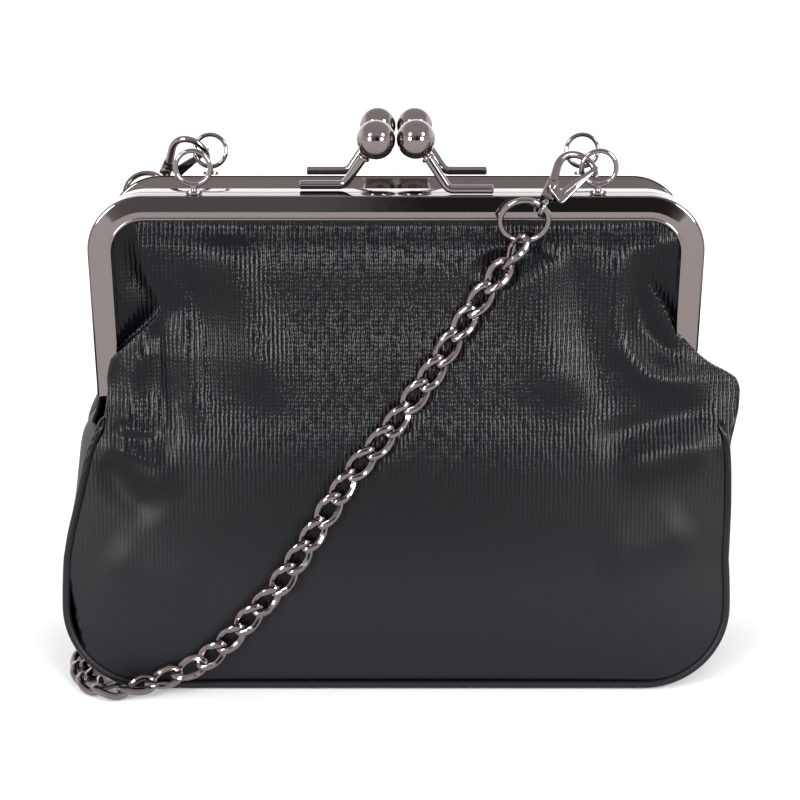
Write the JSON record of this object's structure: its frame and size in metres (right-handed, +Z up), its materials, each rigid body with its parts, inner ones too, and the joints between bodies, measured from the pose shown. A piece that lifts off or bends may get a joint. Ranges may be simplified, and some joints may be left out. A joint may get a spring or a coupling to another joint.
{
  "type": "handbag",
  "caption": "Small leather handbag with two kiss-lock metal frames side by side, ball clasps and a curb chain strap held by a trigger snap at each end.",
  "frame": {"origin": "centre of the base on the floor, measured without the chain and its snaps", "axes": "+X along the frames to the bag's right as seen from the front, -Y out of the front, +Z up"},
  "size_m": [0.2467, 0.1343, 0.207],
  "materials": {
    "metal": "dark mirror plating, black nickel",
    "chain_metal": "dark mirror plating with bright facets",
    "leather": "near-black, fine upright cross-hatch grain, soft sheen",
    "lining": "dull black woven lining"
  },
  "bodies": {
    "bag": {"back_divider": "leather", "back_fold": "leather", "back_frame_front_half": "metal", "back_lining": "lining", "back_panel": "leather", "back_piping": "leather", "chain_back": "chain_metal", "chain_floor": "chain_metal", "chain_front": "chain_metal", "front_divider": "leather", "front_fold": "leather", "front_frame_back_half": "metal", "front_lining": "lining", "front_panel": "leather", "front_piping": "leather", "gusset": "leather", "hinge_rivet_back_left": "metal", "hinge_rivet_back_right": "metal", "hinge_rivet_front_left": "metal", "hinge_rivet_front_right": "metal", "lock_ball_back_right": "metal", "lock_ball_front_left": "metal", "lock_collar_back_right": "metal", "lock_collar_front_left": "metal", "lock_rod_back_right": "metal", "lock_rod_front_left": "metal"},
    "front_half": {"chain_loop_front_left": "metal", "chain_loop_front_right": "metal", "chain_ring_right": "chain_metal", "clasp_right": "metal", "clasp_rivet_right": "metal", "front_frame_front_half": "metal", "front_panel_upper": "leather", "lock_ball_front_right": "metal", "lock_collar_front_right": "metal", "lock_rod_front_right": "metal"},
    "back_half": {"back_frame_back_half": "metal", "back_panel_upper": "leather", "chain_loop_back_left": "metal", "chain_loop_back_right": "metal", "chain_ring_left": "chain_metal", "clasp_left": "metal", "clasp_rivet_left": "metal", "lock_ball_back_left": "metal", "lock_collar_back_left": "metal", "lock_rod_back_left": "metal"},
    "gate_right": {"clasp_gate_right": "metal"},
    "gate_left": {"clasp_gate_left": "metal"}
  },
  "joints": [
    {"name": "front_frame_hinge", "type": "hinge", "parent": "bag", "child": "front_half", "pos_m": [0, -0.014, 0.1085], "axis": [1, 0, 0], "range_deg": [0, 55], "deforming": ["front_fold", "chain_front"]},
    {"name": "back_frame_hinge", "type": "hinge", "parent": "bag", "child": "back_half", "pos_m": [0, 0.014, 0.1085], "axis": [-1, 0, 0], "range_deg": [0, 55], "deforming": ["back_fold", "chain_back"]},
    {"name": "gate_right_hinge", "type": "hinge", "parent": "front_half", "child": "gate_right", "pos_m": [0.05267, -0.03005, 0.18446], "axis": [0.1957, -0.8241, 0.5316], "range_deg": [0, 10], "stiffness_Nm_per_rad": 0.01, "springref_deg": -17.19},
    {"name": "gate_left_hinge", "type": "hinge", "parent": "back_half", "child": "gate_left", "pos_m": [-0.08733, 0.03531, 0.18316], "axis": [-0.1957, -0.8592, -0.4728], "range_deg": [0, 10], "stiffness_Nm_per_rad": 0.01, "springref_deg": -17.19}
  ]
}
